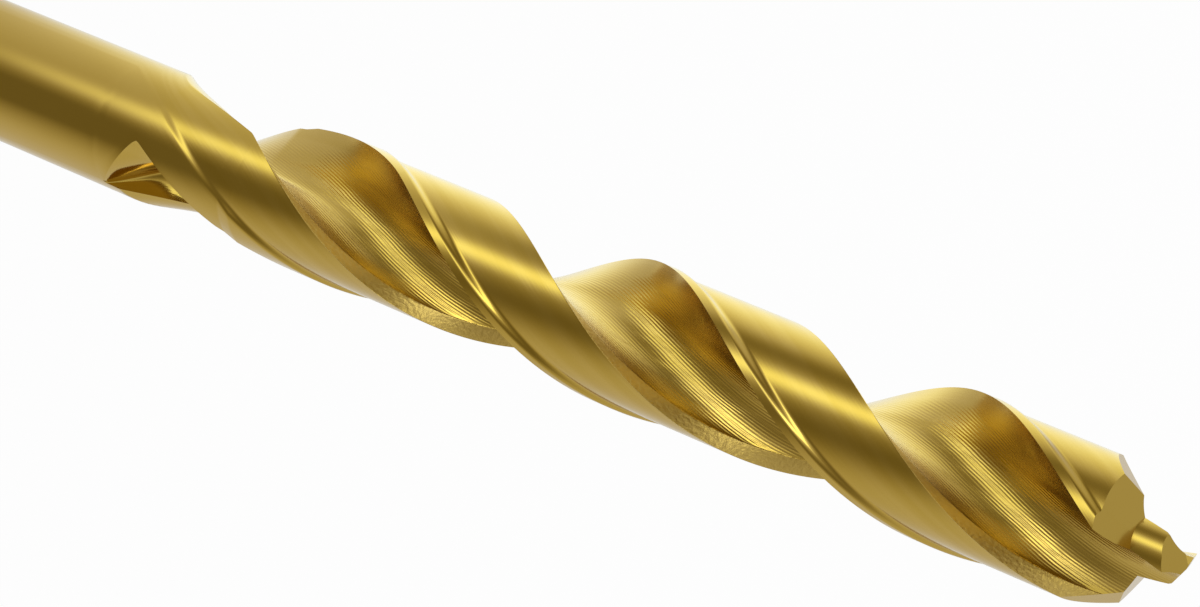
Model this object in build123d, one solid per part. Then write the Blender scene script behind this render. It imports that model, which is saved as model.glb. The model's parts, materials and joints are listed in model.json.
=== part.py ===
from build123d import *
import math
import os

os.makedirs("parts", exist_ok=True)

# Right-hand two-flute twist drill with a stepped pilot point, one solid piece.
# The drill stands on the flat end of its shank: the origin is the centre of
# that end, and +Z runs along the axis to the point. Millimetres and degrees.

# Lengths along the axis
overall_length = 151.0
plain_shank_length = 54.8        # shank end to the step up to the body
body_step_length = 1.5           # short cone between shank and body
flute_full_length = 79.8         # point to where the flutes start to narrow
flute_rise_start = 95.6          # point to where the flutes start to rise out of the body
runout_length = 16.2             # over which they rise
shank_chamfer = 0.6

# Diameters
drill_diameter = 12.7            # over the margins
clearance_diameter = 11.9        # over the relieved lands
shank_diameter = 12.2
pilot_diameter = 5.0
web_thickness = 1.54             # left between the flute floors

# Flutes and lands
lead = 65.1                      # axial advance of one full turn
margin_angle = 13.7              # width of the margin behind the leading edge
heel_angle = 103.6               # leading edge to the heel of the next land
heel_wall_bottom_diameter = 9.2  # where the heel wall meets the flute floor
floor_radius = 3.75              # hollow of the flute
face_offset = 0.05               # flute face ahead of the radial line
relief_flats = 3                 # the clearance of a land is ground in this many passes
runout_power = 2.4               # 1 for a straight rise, more for a softer start
runout_lag = 5.8                 # the heel side starts to rise this much later
runout_flare = 50.0              # the heel wall opens by this angle in the run-out
face_recession_angle = 15.4      # the face falls back by this angle ...
face_recession_length = 11.6     # ... over this length, from where the flutes narrow
face_recession_limit = 28.0

# Main point: two lips, and three facets ground behind each
point_angle = 135.0
primary_relief = 12.0
primary_width_outer = 2.1
primary_width_inner = 1.2
secondary_relief = 18.0
secondary_width = 5.1            # from the lip to the heel facet
heel_relief = 58.0

# Pilot: a short cylinder with a split point of its own
pilot_land_length = 3.0          # from the shoulder to the pilot's lip
pilot_point_angle = 135.0
pilot_primary_relief = 14.0
pilot_primary_width = 1.0
pilot_secondary_relief = 28.0
pilot_secondary_width = 2.7
pilot_heel_relief = 60.0
split_offset = 0.12              # half the chisel edge that the split leaves
split_direction = 37.0           # inner lip, turned from the outer lip
split_slope = 50.0               # fall of the split's floor

# Cutters
cut_margin = 1.0                 # they reach this far outside the body
runout_steps = 11
floor_points = 5

body_radius = drill_diameter / 2
land_radius = clearance_diameter / 2
shank_radius = shank_diameter / 2
pilot_radius = pilot_diameter / 2
heel_bottom_radius = heel_wall_bottom_diameter / 2
half_web = web_thickness / 2
cut_radius = body_radius + cut_margin
rim_radius = cut_radius + cut_margin
margin_back_angle = 180 - margin_angle
twist_rate = 360 / lead


def slope(degrees):
    return math.tan(math.radians(degrees))


def polar(radius, degrees):
    return Vector(radius * math.cos(math.radians(degrees)), radius * math.sin(math.radians(degrees)))


# Heights. Each lip is a straight line that passes half the web from the axis.
main_slope = slope(90 - point_angle / 2)
pilot_slope = slope(90 - pilot_point_angle / 2)
main_lip_reach = math.sqrt(body_radius**2 - half_web**2)
pilot_lip_reach = math.sqrt(pilot_radius**2 - half_web**2)
pilot_corner_z = overall_length - pilot_lip_reach * pilot_slope + half_web * slope(pilot_primary_relief)
shoulder_z = pilot_corner_z - pilot_land_length
main_corner_z = shoulder_z - (main_lip_reach - pilot_lip_reach) * main_slope
full_flute_z = overall_length - flute_full_length
rise_z = overall_length - flute_rise_start
runout_end_z = rise_z - runout_length

# Flute floor: an arc that touches the flute face and stays half the web off the axis
floor_centre_y = face_offset + floor_radius
floor_centre_x = math.sqrt((floor_radius + half_web) ** 2 - floor_centre_y**2)
floor_centre = Vector(floor_centre_x, floor_centre_y)
inward_angle = math.degrees(math.atan2(-floor_centre_y, -floor_centre_x))
heel_bottom_cosine = (floor_centre.length**2 + floor_radius**2 - heel_bottom_radius**2) / (
    2 * floor_centre.length * floor_radius
)
floor_start_angle = -90.0
floor_end_angle = inward_angle - math.degrees(math.acos(heel_bottom_cosine))


def lifted_radius(radius, degrees, z):
    """Radius of a cutter point at height z: in the run-out it moves out to the cutter's rim."""
    start = rise_z - runout_lag * degrees / heel_angle
    depth = min(1.0, max(0.0, (start - z) / (runout_length - runout_lag)))
    return radius + (cut_radius - radius) * depth**runout_power


def receded_angle(degrees, z):
    """Angle of a cutter point at height z: the flute narrows from its face side."""
    share = max(0.0, full_flute_z - z) / face_recession_length
    recession = min(face_recession_limit, face_recession_angle * share**1.5)
    return degrees + recession * max(0.0, 1 - degrees / heel_angle)


def cutter_section(z):
    """Outline of one flute and the clearance of the land ahead of it, at height z."""
    turn = twist_rate * (z - main_corner_z)

    def place(radius, degrees):
        return polar(radius, degrees + turn) + Vector(0, 0, z)

    floor = []
    for step in range(floor_points):
        around = floor_start_angle + (floor_end_angle - floor_start_angle) * step / (floor_points - 1)
        point = floor_centre + polar(floor_radius, around)
        degrees = receded_angle(math.degrees(math.atan2(point.Y, point.X)), z)
        floor.append(place(lifted_radius(point.length, degrees, z), degrees))
    heel_top_angle = heel_angle + runout_flare * max(0.0, rise_z - z) / runout_length
    face_top_angle = receded_angle(math.degrees(math.asin(face_offset / rim_radius)), z)
    land = lifted_radius(land_radius, heel_angle, z)
    face_top = place(rim_radius, face_top_angle)
    relief = []
    for step in range(relief_flats + 1):
        relief.append(place(land, heel_top_angle + (margin_back_angle - heel_top_angle) * step / relief_flats))
    margin_top = place(rim_radius, margin_back_angle)
    rim_middle = place(rim_radius, (margin_back_angle + face_top_angle) / 2)
    edges = [
        Edge.make_line(face_top, floor[0]),
        Edge.make_spline(floor),
        Edge.make_line(floor[-1], relief[0]),
    ]
    for here, there in zip(relief, relief[1:]):
        edges.append(Edge.make_line(here, there))
    edges.append(Edge.make_line(relief[-1], margin_top))
    edges.append(Edge.make_three_point_arc(margin_top, rim_middle, face_top))
    return Wire(edges)


def flute_cutter():
    """Helical cut at full depth, and the run-out where the cutter narrows and lifts out."""
    top_z = overall_length + cut_margin
    start = cutter_section(full_flute_z)
    helical = Solid.extrude_linear_with_rotation(
        Face(start), (0, 0, full_flute_z), (0, 0, top_z - full_flute_z), twist_rate * (top_z - full_flute_z)
    )
    step_height = (full_flute_z - runout_end_z) / runout_steps
    runout = Solid.make_loft([cutter_section(full_flute_z - step_height * k) for k in range(runout_steps + 1)])
    return helical, runout


def blank():
    outline = [
        (0, 0),
        (shank_radius - shank_chamfer, 0),
        (shank_radius, shank_chamfer),
        (shank_radius, plain_shank_length),
        (body_radius, plain_shank_length + body_step_length),
        (body_radius, overall_length),
        (0, overall_length),
    ]
    profile = Polyline(*outline, close=True)
    return revolve(Plane.XZ * make_face(profile), Axis.Z)


def facet_solid(frame, point, slope_along, slope_behind):
    """Everything above one ground facet, which passes through a point of the lip's frame."""
    normal = Vector(-slope_along, -slope_behind, 1)
    facet = Plane(origin=point, z_dir=normal)
    size = 4 * drill_diameter
    return frame * (facet * Box(size, size, size, align=(Align.CENTER, Align.CENTER, Align.MIN)))


def point_facets(radius, corner_z, lip_slope, inner_radius, first, second, third):
    """Cutters of the three facets behind both lips of one point."""
    reach = math.sqrt(radius**2 - half_web**2)
    corner_turn = twist_rate * (corner_z - main_corner_z)
    lip_turn = corner_turn - math.degrees(math.asin(half_web / radius))
    relief_1, width_outer, width_inner = first
    relief_2, width_2 = second
    corner = Vector(reach, half_web, corner_z)

    def first_height(x, y):
        return corner_z + (reach - x) * lip_slope + (y - half_web) * slope(relief_1)

    outer = Vector(reach, half_web - width_outer)
    inner = Vector(inner_radius, half_web - width_inner)
    outer_height = first_height(outer.X, outer.Y)
    inner_height = first_height(inner.X, inner.Y)
    across = inner_height - outer_height - slope(relief_2) * (inner.Y - outer.Y)
    slope_2 = across / (inner.X - outer.X)
    heel_y = half_web - width_2
    heel_x = math.sqrt(max(0.0, radius**2 - heel_y**2))
    heel_height = outer_height + slope_2 * (heel_x - outer.X) + slope(relief_2) * (heel_y - outer.Y)
    cutters = []
    for side in (0, 180):
        frame = Plane(origin=(0, 0, 0), x_dir=polar(1, lip_turn + side), z_dir=(0, 0, 1))
        cutters.append(facet_solid(frame, corner, -lip_slope, slope(relief_1)))
        cutters.append(facet_solid(frame, Vector(outer.X, outer.Y, outer_height), slope_2, slope(relief_2)))
        cutters.append(facet_solid(frame, Vector(heel_x, heel_y, heel_height), 0, slope(third)))
    return cutters


def split_cutters():
    """Wedges ahead of the inner lips that shorten the pilot's chisel edge."""
    corner_turn = twist_rate * (pilot_corner_z - main_corner_z)
    lip_turn = corner_turn - math.degrees(math.asin(half_web / pilot_radius))
    size = 2 * drill_diameter
    cutters = []
    for side in (0, 180):
        turn = lip_turn + split_direction + side
        level = polar(1, turn)
        across = polar(1, turn + 90)
        valley = level * math.cos(math.radians(split_slope)) - Vector(0, 0, math.sin(math.radians(split_slope)))
        start = across * split_offset + Vector(0, 0, overall_length)
        wedge = Plane(origin=start, x_dir=valley, z_dir=across)
        block = Box(size, size, size, align=(Align.CENTER, Align.MAX, Align.MIN))
        cutters.append(wedge * block)
    return cutters


body = blank()
for side in (0, 180):
    for cutter in flute_cutter():
        body -= cutter.rotate(Axis.Z, side)

main_facets = point_facets(
    body_radius,
    main_corner_z,
    main_slope,
    pilot_radius,
    (primary_relief, primary_width_outer, primary_width_inner),
    (secondary_relief, secondary_width),
    heel_relief,
)
pilot_facets = point_facets(
    pilot_radius,
    pilot_corner_z,
    pilot_slope,
    0.0,
    (pilot_primary_relief, pilot_primary_width, pilot_primary_width),
    (pilot_secondary_relief, pilot_secondary_width),
    pilot_heel_relief,
)
pilot_reach = overall_length - main_corner_z + drill_diameter / 2
pilot_zone = Pos(0, 0, overall_length) * Cylinder(
    pilot_radius, pilot_reach, align=(Align.CENTER, Align.CENTER, Align.MAX)
)
pilot = body & pilot_zone
for cutter in pilot_facets + split_cutters():
    pilot -= cutter
shouldered = body
for cutter in main_facets:
    shouldered -= cutter
drill_bit = shouldered + pilot

print("drill_bit", drill_bit.volume, len(drill_bit.solids()), drill_bit.is_valid)
export_step(drill_bit, "parts/drill_bit.step")
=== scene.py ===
import json
import math

import bpy
import numpy as np
from mathutils import Matrix, Vector

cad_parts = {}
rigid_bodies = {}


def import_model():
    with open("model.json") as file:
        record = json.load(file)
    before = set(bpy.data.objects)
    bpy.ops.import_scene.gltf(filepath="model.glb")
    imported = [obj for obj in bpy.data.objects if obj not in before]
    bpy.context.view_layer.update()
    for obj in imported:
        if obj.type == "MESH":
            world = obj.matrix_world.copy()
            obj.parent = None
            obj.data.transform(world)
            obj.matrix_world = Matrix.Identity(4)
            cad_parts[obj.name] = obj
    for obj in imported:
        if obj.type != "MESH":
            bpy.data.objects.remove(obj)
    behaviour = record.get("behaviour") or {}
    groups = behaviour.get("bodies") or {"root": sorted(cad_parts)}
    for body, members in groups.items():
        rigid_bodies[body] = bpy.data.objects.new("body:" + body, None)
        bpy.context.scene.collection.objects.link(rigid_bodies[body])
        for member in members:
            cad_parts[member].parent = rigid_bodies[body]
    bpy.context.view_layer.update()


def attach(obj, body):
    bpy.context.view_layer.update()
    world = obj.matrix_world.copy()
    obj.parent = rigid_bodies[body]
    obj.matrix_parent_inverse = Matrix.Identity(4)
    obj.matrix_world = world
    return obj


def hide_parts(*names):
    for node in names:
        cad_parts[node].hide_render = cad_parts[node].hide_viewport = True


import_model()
mm = 0.001

# the drill's own sizes, in millimetres and degrees
drill = {
    "length": 151.0,
    "radius": 6.35,
    "landRadius": 5.95,
    "shankRadius": 6.1,
    "shankChamfer": 0.6,
    "shankEnd": 54.8,
    "bodyStep": 1.5,
    "fullFluteZ": 71.2,
    "riseZ": 55.4,
    "runout": 16.2,
    "runoutPower": 2.4,
    "runoutLag": 5.8,
    "runoutFlare": 50.0,
    "recession": 15.4,
    "recessionLength": 11.6,
    "recessionLimit": 28.0,
    "recessionPower": 1.5,
    "lead": 65.1,
    "halfWeb": 0.77,
    "marginAngle": 13.7,
    "marginStepAngle": 7,
    "heelAngle": 103.6,
    "heelWallBottom": 4.6,
    "floorRadius": 3.75,
    "faceOffset": 0.05,
    "cutRadius": 7.35,
}
# how finely the body is divided
mesh = {
    "faceSteps": 16,
    "floorSteps": 110,
    "wallSteps": 8,
    "landSteps": 40,
    "stepSteps": 4,
    "marginSteps": 8,
    "ringStep": 0.6,
    "runoutStep": 0.35,
    "shankRings": 12,
    "shankRingStart": 3.0,
    "mergeDistance": 0.002,
    "smoothAngle": 30,
}
pilot = {"radius": 2.5, "landLength": 3.0}
# facets behind a lip: relief, outer and inner width, second relief, its width, heel relief
point = {
    "slope": math.tan(math.radians(22.5)),
    "main": (12.0, 2.1, 1.2, 18.0, 5.1, 58.0),
    "pilot": (14.0, 1.0, 1.0, 28.0, 2.7, 60.0),
    "stockRadius": 9,
    "stockSides": 64,
    "stockMargin": 5,
    "pilotSides": 160,
    "pilotStart": 139,
    "splitSize": 12,
    "splitOffset": 0.12,
    "splitDirection": 37.0,
    "splitSlope": 50.0,
}
twist = 360 / drill["lead"]


def tangent(degrees):
    return math.tan(math.radians(degrees))


def polar(radius, degrees):
    return np.array([radius * math.cos(math.radians(degrees)), radius * math.sin(math.radians(degrees))])


def deselect():
    for obj in bpy.context.selected_objects:
        obj.select_set(False)


mainReach = math.sqrt(drill["radius"] ** 2 - drill["halfWeb"] ** 2)
pilotReach = math.sqrt(pilot["radius"] ** 2 - drill["halfWeb"] ** 2)
pilotCornerZ = drill["length"] - pilotReach * point["slope"] + drill["halfWeb"] * tangent(point["pilot"][0])
mainCornerZ = pilotCornerZ - pilot["landLength"] - (mainReach - pilotReach) * point["slope"]


# corner points of one flute's section, untwisted
def flutePath():
    centreY = drill["faceOffset"] + drill["floorRadius"]
    centreX = math.sqrt((drill["floorRadius"] + drill["halfWeb"]) ** 2 - centreY ** 2)
    centre = np.array([centreX, centreY])
    inward = math.degrees(math.atan2(-centreY, -centreX))
    dist = math.hypot(centreX, centreY)
    cosine = dist ** 2 + drill["floorRadius"] ** 2 - drill["heelWallBottom"] ** 2
    end = inward - math.degrees(math.acos(cosine / (2 * dist * drill["floorRadius"])))
    points = []
    for k in range(mesh["faceSteps"]):
        x = drill["radius"] + (centreX - drill["radius"]) * k / mesh["faceSteps"]
        points.append([x, drill["faceOffset"]])
    for k in range(mesh["floorSteps"]):
        points.append(centre + polar(drill["floorRadius"], -90 + (end + 90) * k / mesh["floorSteps"]))
    bottom = centre + polar(drill["floorRadius"], end)
    top = polar(drill["landRadius"], drill["heelAngle"])
    for k in range(mesh["wallSteps"] + 1):
        points.append(bottom + (top - bottom) * k / mesh["wallSteps"])
    return np.array(points)


runoutEnd = drill["riseZ"] - drill["runout"]
path = flutePath()
pathRadius = np.hypot(path[:, 0], path[:, 1])
pathAngle = np.degrees(np.arctan2(path[:, 1], path[:, 0]))


def blankRadius(z):
    if z < drill["shankChamfer"]:
        return drill["shankRadius"] - drill["shankChamfer"] + z
    if z < drill["shankEnd"]:
        return drill["shankRadius"]
    share = min(1.0, (z - drill["shankEnd"]) / drill["bodyStep"])
    return drill["shankRadius"] + share * (drill["radius"] - drill["shankRadius"])


# in the run-out the cutter's points move out to its rim
def lifted(radius, degrees, z):
    start = drill["riseZ"] - drill["runoutLag"] * degrees / drill["heelAngle"]
    depth = np.maximum(0.0, (start - z) / (drill["runout"] - drill["runoutLag"]))
    return radius + (drill["cutRadius"] - radius) * depth ** drill["runoutPower"]


# before that the flute narrows from its face side
def receded(degrees, z):
    share = max(0.0, drill["fullFluteZ"] - z) / drill["recessionLength"]
    recession = min(drill["recessionLimit"], drill["recession"] * share ** drill["recessionPower"])
    return degrees + recession * np.clip(1 - degrees / drill["heelAngle"], 0, None)


# half of the section at height z, from the leading edge to the next one
def halfSection(z):
    blank = blankRadius(z)
    z = max(z, runoutEnd)
    angle = receded(pathAngle, z)
    radius = lifted(pathRadius, np.clip(angle, 0, None), z)
    flare = drill["runoutFlare"] * min(1.0, max(0.0, drill["riseZ"] - z) / drill["runout"])
    wall = mesh["faceSteps"] + mesh["floorSteps"]
    share = (np.arange(len(path)) - wall) / mesh["wallSteps"]
    angle = angle + np.clip(share, 0, 1) * flare
    inside = np.nonzero(radius < blank - 1e-6)[0]
    if len(inside) == 0:
        low = high = int(np.argmin(radius))
        lowAngle = highAngle = angle[low]
    else:
        low, high = inside[0], inside[-1]
        lowAngle, highAngle = angle[low], angle[high]
        if low > 0:
            t = (blank - radius[low]) / (radius[low - 1] - radius[low])
            lowAngle = angle[low] + t * (angle[low - 1] - angle[low])
        if high < len(path) - 1:
            t = (blank - radius[high]) / (radius[high + 1] - radius[high])
            highAngle = angle[high] + t * (angle[high + 1] - angle[high])
    index = np.arange(len(path))
    angle = np.where(index < low, lowAngle, np.where(index > high, highAngle, angle))
    radius = np.where((index < low) | (index > high), blank, np.minimum(radius, blank))
    if len(inside) == 0:
        radius[:] = blank
        angle[:] = lowAngle
    land = min(blank, lifted(drill["landRadius"], drill["heelAngle"], z))
    if high == len(path) - 1:
        radius[-1] = min(radius[-1], blank)
    foot = 180 - drill["marginAngle"]
    count = mesh["landSteps"]
    share = np.arange(1, count + 1) / count
    parts = [(radius, angle), (np.full(count, land), angle[-1] + (foot - angle[-1]) * share)]
    count = mesh["stepSteps"]
    share = np.arange(1, count + 1) / count
    smooth = share * share * (3 - 2 * share)
    parts.append((land + (blank - land) * smooth, foot + drill["marginStepAngle"] * share))
    count = mesh["marginSteps"]
    share = np.arange(1, count) / count
    start = foot + drill["marginStepAngle"]
    parts.append((np.full(count - 1, blank), start + (180 + lowAngle - start) * share))
    return np.concatenate([p[0] for p in parts]), np.concatenate([p[1] for p in parts])


def ring(z):
    radius, angle = halfSection(z)
    radius = np.concatenate([radius, radius, radius[:1]])
    angle = np.concatenate([angle, angle + 180, angle[:1] + 360])
    turned = np.radians(angle + twist * (max(z, runoutEnd) - mainCornerZ))
    return np.stack([radius * np.cos(turned), radius * np.sin(turned), np.full(len(radius), z)], 1)


def heights():
    shankRings = np.linspace(mesh["shankRingStart"], runoutEnd - 1, mesh["shankRings"])
    levels = [0.0, drill["shankChamfer"], *shankRings]
    levels += list(np.arange(runoutEnd, drill["fullFluteZ"], mesh["runoutStep"]))
    levels += [drill["shankEnd"], drill["shankEnd"] + drill["bodyStep"]]
    levels += list(np.arange(drill["fullFluteZ"], drill["length"] + 1, mesh["ringStep"]))
    return sorted(set(round(z, 4) for z in levels))


def boundaryFill():
    bpy.ops.object.mode_set(mode="EDIT")
    bpy.ops.mesh.select_all(action="SELECT")
    bpy.ops.mesh.remove_doubles(threshold=mesh["mergeDistance"] * mm)
    bpy.ops.mesh.fill_holes(sides=0)
    bpy.ops.mesh.select_all(action="SELECT")
    bpy.ops.mesh.normals_make_consistent(inside=False)
    bpy.ops.object.mode_set(mode="OBJECT")


# millimetres round the full section, at each of its points
def acrossSection():
    section = ring(drill["fullFluteZ"] + 1)
    return np.concatenate([[0], np.cumsum(np.linalg.norm(np.diff(section, axis=0), axis=1))])


def makeFluted():
    levels = heights()
    rings = np.stack([ring(z) for z in levels])
    around = rings.shape[1]
    deselect()
    bpy.ops.mesh.primitive_grid_add(
        x_subdivisions=around - 1, y_subdivisions=len(levels) - 1, size=1, calc_uvs=True
    )
    fluted = bpy.context.object
    fluted.name = "drill"
    fluted.data.vertices.foreach_set("co", (rings.reshape(-1) * mm).astype(np.float32))
    layUv(fluted, around, levels)
    boundaryFill()
    print("fluted body:", len(fluted.data.polygons), "faces")
    return fluted


# U runs round the section and V along the axis, both in millimetres
def layUv(fluted, around, levels):
    across = acrossSection()
    corners = np.zeros(len(fluted.data.loops), np.int32)
    fluted.data.loops.foreach_get("vertex_index", corners)
    uv = np.stack([across[corners % around], np.array(levels)[corners // around]], 1)
    fluted.data.uv_layers[0].data.foreach_set("uv", uv.reshape(-1).astype(np.float32))
    fluted.data.uv_layers[0].name = "surface"
    fluted.data.update()


# origin and normal of the three facets behind both lips
def pointPlanes(radius, cornerZ, innerRadius, facets):
    relief, outerWidth, innerWidth, relief2, width2, heelRelief = facets
    half = drill["halfWeb"]
    reach = math.sqrt(radius ** 2 - half ** 2)
    lipTurn = twist * (cornerZ - mainCornerZ) - math.degrees(math.asin(half / radius))

    def firstHeight(x, y):
        return cornerZ + (reach - x) * point["slope"] + (y - half) * tangent(relief)

    outer = (reach, half - outerWidth)
    inner = (innerRadius, half - innerWidth)
    outerHeight = firstHeight(*outer)
    across = firstHeight(*inner) - outerHeight - tangent(relief2) * (inner[1] - outer[1])
    slope2 = across / (inner[0] - outer[0])
    heelY = half - width2
    heelX = math.sqrt(max(0.0, radius ** 2 - heelY ** 2))
    heelHeight = outerHeight + slope2 * (heelX - outer[0]) + tangent(relief2) * (heelY - outer[1])
    planes = []
    for side in (0, 180):
        turned = Matrix.Rotation(math.radians(lipTurn + side), 4, "Z")
        for origin, along, behind in (
            ((reach, half, cornerZ), -point["slope"], tangent(relief)),
            ((*outer, outerHeight), slope2, tangent(relief2)),
            ((heelX, heelY, heelHeight), 0, tangent(heelRelief)),
        ):
            normal = Vector((-along, -behind, 1)).normalized()
            planes.append((turned @ Vector(origin) * mm, turned.to_3x3() @ normal))
    return planes


def cutAbove(obj, planes):
    deselect()
    bpy.context.view_layer.objects.active = obj
    obj.select_set(True)
    bpy.ops.object.mode_set(mode="EDIT")
    for origin, normal in planes:
        bpy.ops.mesh.select_all(action="SELECT")
        bpy.ops.mesh.bisect(
            plane_co=origin, plane_no=normal, use_fill=True, clear_outer=True, threshold=1e-7
        )
    bpy.ops.mesh.select_all(action="SELECT")
    bpy.ops.mesh.normals_make_consistent(inside=False)
    bpy.ops.object.mode_set(mode="OBJECT")


def boolean(target, tool, operation):
    deselect()
    bpy.context.view_layer.objects.active = target
    target.select_set(True)
    cut = target.modifiers.new("cut", "BOOLEAN")
    cut.operation = operation
    cut.solver = "EXACT"
    cut.material_mode = "TRANSFER"
    cut.object = tool
    bpy.ops.object.modifier_apply(modifier="cut")
    bpy.data.objects.remove(tool)


def blankCylinder(name, vertices, radius, low, high):
    deselect()
    middle = (0, 0, (low + high) / 2 * mm)
    bpy.ops.mesh.primitive_cylinder_add(
        vertices=vertices, radius=radius * mm, depth=(high - low) * mm, location=middle
    )
    made = bpy.context.object
    made.name = name
    bpy.ops.object.transform_apply(location=True)
    return made


# the hollow ahead of one inner lip of the pilot
def splitWedge(side):
    lip = math.degrees(math.asin(drill["halfWeb"] / pilot["radius"]))
    turn = twist * (pilotCornerZ - mainCornerZ) - lip
    turn += point["splitDirection"] + side
    level = Vector((*polar(1, turn), 0))
    across = Vector((*polar(1, turn + 90), 0))
    slope = math.radians(point["splitSlope"])
    valley = level * math.cos(slope) - Vector((0, 0, math.sin(slope)))
    up = valley.cross(across)
    start = across * point["splitOffset"] + Vector((0, 0, drill["length"]))
    deselect()
    bpy.ops.mesh.primitive_cube_add(size=point["splitSize"] * mm)
    wedge = bpy.context.object
    centre = start + (up + across) * point["splitSize"] / 2
    frameMatrix = Matrix((valley, across, up)).transposed().to_4x4()
    wedge.matrix_world = Matrix.Translation(centre * mm) @ frameMatrix
    bpy.ops.object.transform_apply(location=True, rotation=True)
    return wedge


# the ground form of the point, before the flutes are cut into it
def makePoint():
    above = drill["length"] + point["stockMargin"]
    form = blankCylinder("pointForm", point["stockSides"], point["stockRadius"], -point["stockMargin"], above)
    cutAbove(form, pointPlanes(drill["radius"], mainCornerZ, pilot["radius"], point["main"]))
    tip = blankCylinder("pilotForm", point["pilotSides"], pilot["radius"], point["pilotStart"], above)
    cutAbove(tip, pointPlanes(pilot["radius"], pilotCornerZ, 0.0, point["pilot"]))
    for side in (0, 180):
        boolean(tip, splitWedge(side), "DIFFERENCE")
    boolean(form, tip, "UNION")
    print("point form:", len(form.data.polygons), "faces")
    return form


# a socket that takes arithmetic: each operation adds its Math node
class Signal:
    def __init__(self, paint, socket):
        self.paint = paint
        self.socket = socket

    def maths(self, operation, *others):
        sockets = dict(enumerate((self, *others)))
        return self.paint.node("ShaderNodeMath", 0, {"operation": operation}, sockets)

    def __add__(self, other):
        return self.maths("ADD", other)

    __radd__ = __add__

    def __mul__(self, other):
        return self.maths("MULTIPLY", other)

    __rmul__ = __mul__

    def __sub__(self, other):
        return self.maths("SUBTRACT", other)

    def __rsub__(self, other):
        return self * -1.0 + other

    # a soft step from 0 below low to 1 above high
    def rise(self, low, high):
        sockets = {"Value": self, "From Min": low, "From Max": high}
        return self.paint.node("ShaderNodeMapRange", "Result", {"interpolation_type": "SMOOTHSTEP"}, sockets)


# one material: its first shader, and a method that adds any node
class Paint:
    def __init__(self, name):
        self.material = bpy.data.materials.new(name)
        self.material.use_nodes = True
        self.tree = self.material.node_tree
        self.shader = self.tree.nodes["Principled BSDF"]
        self.surface = self.tree.nodes["Material Output"]

    # a socket takes a value or a signal
    def fill(self, made, sockets):
        for name, value in sockets.items():
            if isinstance(value, Signal):
                self.tree.links.new(value.socket, made.inputs[name])
            else:
                made.inputs[name].default_value = value

    def node(self, kind, output, settings, sockets):
        made = self.tree.nodes.new(kind)
        for name, value in settings.items():
            setattr(made, name, value)
        self.fill(made, sockets)
        return Signal(self, made.outputs[output])

    def bump(self, height):
        sockets = {"Height": height, "Distance": mm, "Strength": 1.0}
        return self.node("ShaderNodeBump", "Normal", {}, sockets)


# where the zones of the section lie, in millimetres round it
across = acrossSection()
fluteFoot = mesh["faceSteps"] + mesh["floorSteps"]
zone = {
    "half": float(across[-1] / 2),
    "floor": float(across[fluteFoot]),
    "wall": float(across[fluteFoot + mesh["wallSteps"]]),
    "edge": 0.05,
    "floorEdge": 0.5,
    "coreStart": 0.9,
    "coreEnd": 2.6,
    "bodyStart": drill["riseZ"] - 12,
    "bodyEnd": drill["riseZ"] + 2,
}

# titanium nitride over ground steel; scales are per millimetre, round the section and along it
nitride = {
    "colour": (0.51, 0.342, 0.062),
    # paler tint: random mottle in the coating, and a painted highlight on the heel wall
    "mottleAndWallSheen": (0.62, 0.44, 0.13),
    "mottle": (0.8, 0.03, 3.0),
    "mottleRange": (0.35, 0.7),
    "mottleShare": 0.25,
    "wallSheenShare": 0.4,
    "roughness": 0.13,
    "fluteRoughness": 0.07,
    "wallRoughness": 0.23,
    "facetRoughness": 0.17,
    "ridgeHeight": 0.011,
    "ridgePitch": 0.25,
    "ridgeSkew": 0.27,
    "ridgeWander": 7.0,
    "wander": (0.5, 0.12, 2.0),
    "ridgeDepth": (1.4, 0.15, 3.0),
    "grain": (9.0, 0.25, 2.0),
    "grainHeight": 0.002,
    "coarse": (3.0, 3.0, 3.0),
    "wallHeight": 0.04,
    "facetGrainScale": 4000.0,
    "facetGrainHeight": 0.0024,
    "haze": 0.25,
    "hazeRoughness": 0.3,
}


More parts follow.
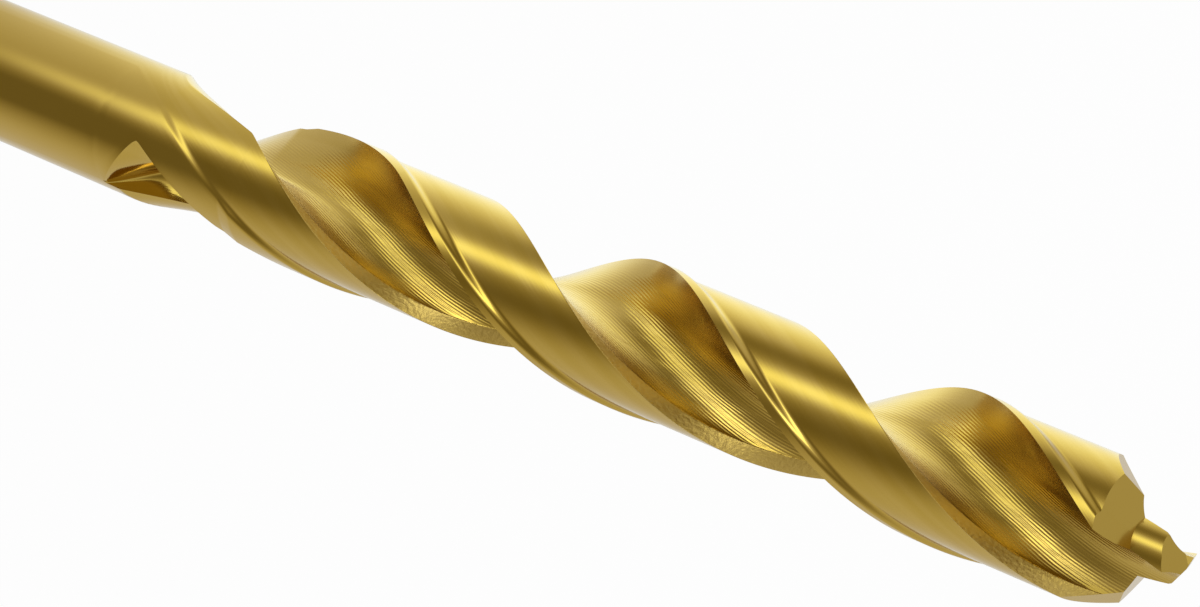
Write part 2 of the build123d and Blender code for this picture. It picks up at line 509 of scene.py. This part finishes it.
def makeCoating():
    paint = Paint("coating")
    uv = paint.node("ShaderNodeUVMap", "UV", {"uv_map": "surface"}, {})
    around = paint.node("ShaderNodeSeparateXYZ", "X", {}, {"Vector": uv}).maths("MODULO", zone["half"])
    along = paint.node("ShaderNodeSeparateXYZ", "Y", {}, {"Vector": uv})
    body = along.rise(zone["bodyStart"], zone["bodyEnd"])
    flute = (1 - around.rise(zone["floor"] - zone["floorEdge"], zone["floor"])) * body
    core = around.rise(zone["coreStart"], zone["coreEnd"]) * flute
    wall = around.rise(zone["floor"] - zone["edge"], zone["floor"] + zone["edge"])
    wall = wall * (1 - around.rise(zone["wall"] - zone["edge"], zone["wall"] + zone["edge"])) * body

    def streaks(name):
        acrossScale, alongScale, detail = nitride[name]
        lines = {"X": around * acrossScale, "Y": along * alongScale}
        place = paint.node("ShaderNodeCombineXYZ", "Vector", {}, lines)
        sockets = {"Vector": place, "Scale": 1.0, "Detail": detail}
        return paint.node("ShaderNodeTexNoise", "Fac", {"noise_dimensions": "2D"}, sockets)

    skewed = around - along * nitride["ridgeSkew"]
    phase = skewed * (2 * math.pi / nitride["ridgePitch"]) + streaks("wander") * nitride["ridgeWander"]
    ridges = phase.maths("SINE") * streaks("ridgeDepth") * core * nitride["ridgeHeight"]
    grain = streaks("grain") * nitride["grainHeight"]
    coarse = streaks("coarse") * wall * nitride["wallHeight"]
    mottle = streaks("mottle").rise(*nitride["mottleRange"])
    # the paler tint is partly random mottle in the coating and partly a painted highlight: the heel wall is
    # lightened to stand in for the sheen it catches
    tints = {
        0: mottle * nitride["mottleShare"] + wall * nitride["wallSheenShare"],
        6: (*nitride["colour"], 1),
        7: (*nitride["mottleAndWallSheen"], 1),
    }
    rough = wall * nitride["wallRoughness"] + nitride["roughness"]
    paint.fill(paint.shader, {
        "Base Color": paint.node("ShaderNodeMix", 2, {"data_type": "RGBA"}, tints),
        "Metallic": 1,
        "Roughness": rough + flute * nitride["fluteRoughness"],
        "Normal": paint.bump(ridges + grain + coarse),
        "Coat Weight": (flute + wall) * nitride["haze"],
        "Coat Roughness": nitride["hazeRoughness"],
    })
    return paint.material


def makeGround():
    paint = Paint("ground")
    place = paint.node("ShaderNodeTexCoord", "Object", {}, {})
    sockets = {"Vector": place, "Scale": nitride["facetGrainScale"], "Detail": 2.0}
    grain = paint.node("ShaderNodeTexNoise", "Fac", {}, sockets)
    paint.fill(paint.shader, {
        "Base Color": (*nitride["colour"], 1),
        "Metallic": 1,
        "Roughness": nitride["facetRoughness"],
        "Normal": paint.bump(grain * nitride["facetGrainHeight"]),
    })
    return paint.material


drillObject = makeFluted()
drillObject.data.materials.append(makeCoating())
pointForm = makePoint()
pointForm.data.materials.append(makeGround())
boolean(drillObject, pointForm, "INTERSECT")
deselect()
bpy.context.view_layer.objects.active = drillObject
drillObject.select_set(True)
bpy.ops.object.shade_smooth_by_angle(angle=math.radians(mesh["smoothAngle"]))
print("drill:", len(drillObject.data.polygons), "faces", [m.name for m in drillObject.data.materials])
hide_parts("drill_bit")
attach(drillObject, "root")

# where the camera stands and which way it looks, in metres and degrees
view = {
    "location": (0.29365, -0.00567, 0.29100),
    "elevation": -34.0486,
    "azimuth": 179.1429,
    "roll": 112.585,
    "lens": 128.34,
    "sensor": 36,
    "clip": (0.01, 20),
}
cameraData = bpy.data.cameras.new("camera")
camera = bpy.data.objects.new("camera", cameraData)
bpy.context.scene.collection.objects.link(camera)
bpy.context.scene.camera = camera
cameraData.lens = view["lens"]
cameraData.sensor_width = view["sensor"]
cameraData.clip_start, cameraData.clip_end = view["clip"]
tilt = math.radians(view["elevation"])
look = Vector((*polar(math.cos(tilt), view["azimuth"]), math.sin(tilt)))
rolled = Matrix.Rotation(math.radians(view["roll"]), 4, "Z")
turn = look.to_track_quat("-Z", "Y").to_matrix().to_4x4() @ rolled
camera.matrix_world = Matrix.Translation(view["location"]) @ turn
print("camera ready")

# studio: a pale floor and the world's light, in metres
studio = {
    "world": 0.67,
    "floorSize": 6,
    "floor": 0.9,
    "floorWhite": 0.95,
    "floorRoughness": 0.9,
}


# white to the eye and in mirrors, matt under the lamps, so that the shadow stays
def makeFloor():
    deselect()
    bpy.ops.mesh.primitive_plane_add(size=studio["floorSize"])
    floor = bpy.context.object
    floor.name = "floor"
    paint = Paint("floorPaint")
    paint.fill(paint.shader, {
        "Base Color": (studio["floor"], studio["floor"], studio["floor"], 1),
        "Roughness": studio["floorRoughness"],
        "Specular IOR Level": 0,
    })
    camera = paint.node("ShaderNodeLightPath", "Is Camera Ray", {}, {})
    glossy = paint.node("ShaderNodeLightPath", "Is Glossy Ray", {}, {})
    through = paint.node("ShaderNodeLightPath", "Is Transmission Ray", {}, {})
    layers = {
        0: (camera + glossy + through) * studio["floorWhite"],
        1: Signal(paint, paint.shader.outputs[0]),
        2: paint.node("ShaderNodeEmission", 0, {}, {}),
    }
    paint.fill(paint.surface, {"Surface": paint.node("ShaderNodeMixShader", 0, {}, layers)})
    paint.material.cycles.emission_sampling = "NONE"  # the floor's white is no lamp
    floor.data.materials.append(paint.material)


# a glowing card round the drill that only the metal mirrors: its bright strips are painted highlights and its
# dark bands painted shade in the metal's reflection
card = {
    "rings": (0.012, 0.025, 0.045, 0.07, 0.1, 0.14, 0.2, 0.3, 0.45, 0.75),
    "lift": 0.0008,
    "heights": (0.08, 0.16, 0.26, 0.4),
    "azimuthStep": 3.0,
    "level": 0.78,
    "darkest": 0.3,
    "softness": 0.05,
    "fadeStart": 0.22,
    "fadeLength": 0.18,
    "paintedShadeAmber": (1.0, 0.82, 0.3),
    "paintedHighlightLemon": (1.0, 1.1, 1.0),
}
# each band paints a highlight (bright strip) or shade (dark band) into the glow that the metal reflects
# azimuth, half width, nearest and farthest ring, change of level
bands = {
    "highlightStrip": (-24, 8.5, 0.05, 9, 1.7),
    "shade": (24, 26, 0, 9, -0.68),
    "nearShade": (0, 40, 0, 0.07, -0.2),
    "sideShade": (-62, 16, 0.12, 9, -0.65),
    "backHighlightStrip": (-128, 28, 0.04, 0.4, 1.1),
}


def clip(value):
    return min(max(value, 0), 1)


# the card's glow at one point: a painted amber tint where it paints shade, a painted lemon tint where it
# paints highlights
def cardGlow(reach, azimuth, z):
    level = 1.0
    for middle, width, near, far, change in bands.values():
        off = (azimuth - middle + 180) % 360 - 180
        side = math.exp(-0.5 * (off / width) ** 2)
        inside = clip((reach - near) / card["softness"] + 0.5) * clip((far - reach) / card["softness"] + 0.5)
        level += change * side * inside
    fade = clip((z - card["fadeStart"]) / card["fadeLength"])
    level = max(level, card["darkest"]) * card["level"] * (1 - fade) + studio["world"] * fade
    share = level / card["level"] - 1
    tints = card["paintedShadeAmber"] if share < 0 else card["paintedHighlightLemon"]
    return [level * (1 + min(abs(share), 1) * (tint - 1)) for tint in tints] + [1]


def makeCard():
    azimuths = np.arange(0, 360, card["azimuthStep"])
    spots = [(reach, card["lift"]) for reach in card["rings"]]
    spots += [(card["rings"][-1], z) for z in card["heights"]]
    corners = [(*polar(reach, azimuth), z) for reach, z in spots for azimuth in azimuths]
    glow = [cardGlow(reach, azimuth, z) for reach, z in spots for azimuth in azimuths]
    count = len(azimuths)
    deselect()
    bpy.ops.mesh.primitive_grid_add(x_subdivisions=count, y_subdivisions=len(spots) - 1, size=1)
    wrap = bpy.context.object
    wrap.name = "card"
    columns = np.arange(count + 1) % count
    order = np.concatenate([row * count + columns for row in range(len(spots))])
    wrap.data.vertices.foreach_set("co", np.array(corners, np.float32)[order].reshape(-1))
    attribute = wrap.data.color_attributes.new("glow", "FLOAT_COLOR", "POINT")
    attribute.data.foreach_set("color", np.array(glow, np.float32)[order].reshape(-1))
    wrap.data.update()
    paint = Paint("cardGlow")
    colour = paint.node("ShaderNodeVertexColor", "Color", {"layer_name": "glow"}, {})
    emitter = paint.node("ShaderNodeEmission", 0, {}, {"Color": colour})
    paint.fill(paint.surface, {"Surface": emitter})
    wrap.data.materials.append(paint.material)
    wrap.visible_camera = False
    wrap.visible_diffuse = False
    wrap.visible_shadow = False


boxes = {
    "front": {"azimuth": -24, "distance": 0.6, "height": 0.14, "size": (0.18, 0.2), "radiance": 1.2},
    "back": {"azimuth": -140, "distance": 0.9, "height": 0.45, "size": (1.0, 0.6), "radiance": 1.0},
}
aimHeight = 0.09


def makeBox(name, box):
    data = bpy.data.lights.new(name, "AREA")
    data.shape = "RECTANGLE"
    data.size, data.size_y = box["size"]
    data.energy = box["radiance"] * math.pi * box["size"][0] * box["size"][1]
    lamp = bpy.data.objects.new(name, data)
    bpy.context.scene.collection.objects.link(lamp)
    spot = Vector((*polar(box["distance"], box["azimuth"]), box["height"]))
    aim = Vector((0, 0, aimHeight)) - spot
    lamp.matrix_world = Matrix.Translation(spot) @ aim.to_track_quat("-Z", "Y").to_matrix().to_4x4()


makeFloor()
makeCard()
for name, box in boxes.items():
    makeBox(name, box)
world = bpy.data.worlds.new("world")
bpy.context.scene.world = world
world.use_nodes = True
background = world.node_tree.nodes["Background"]
background.inputs["Color"].default_value = (studio["world"], studio["world"], studio["world"], 1)
background.inputs["Strength"].default_value = 1.0
bpy.context.scene.view_settings.view_transform = "Standard"
print("studio ready")
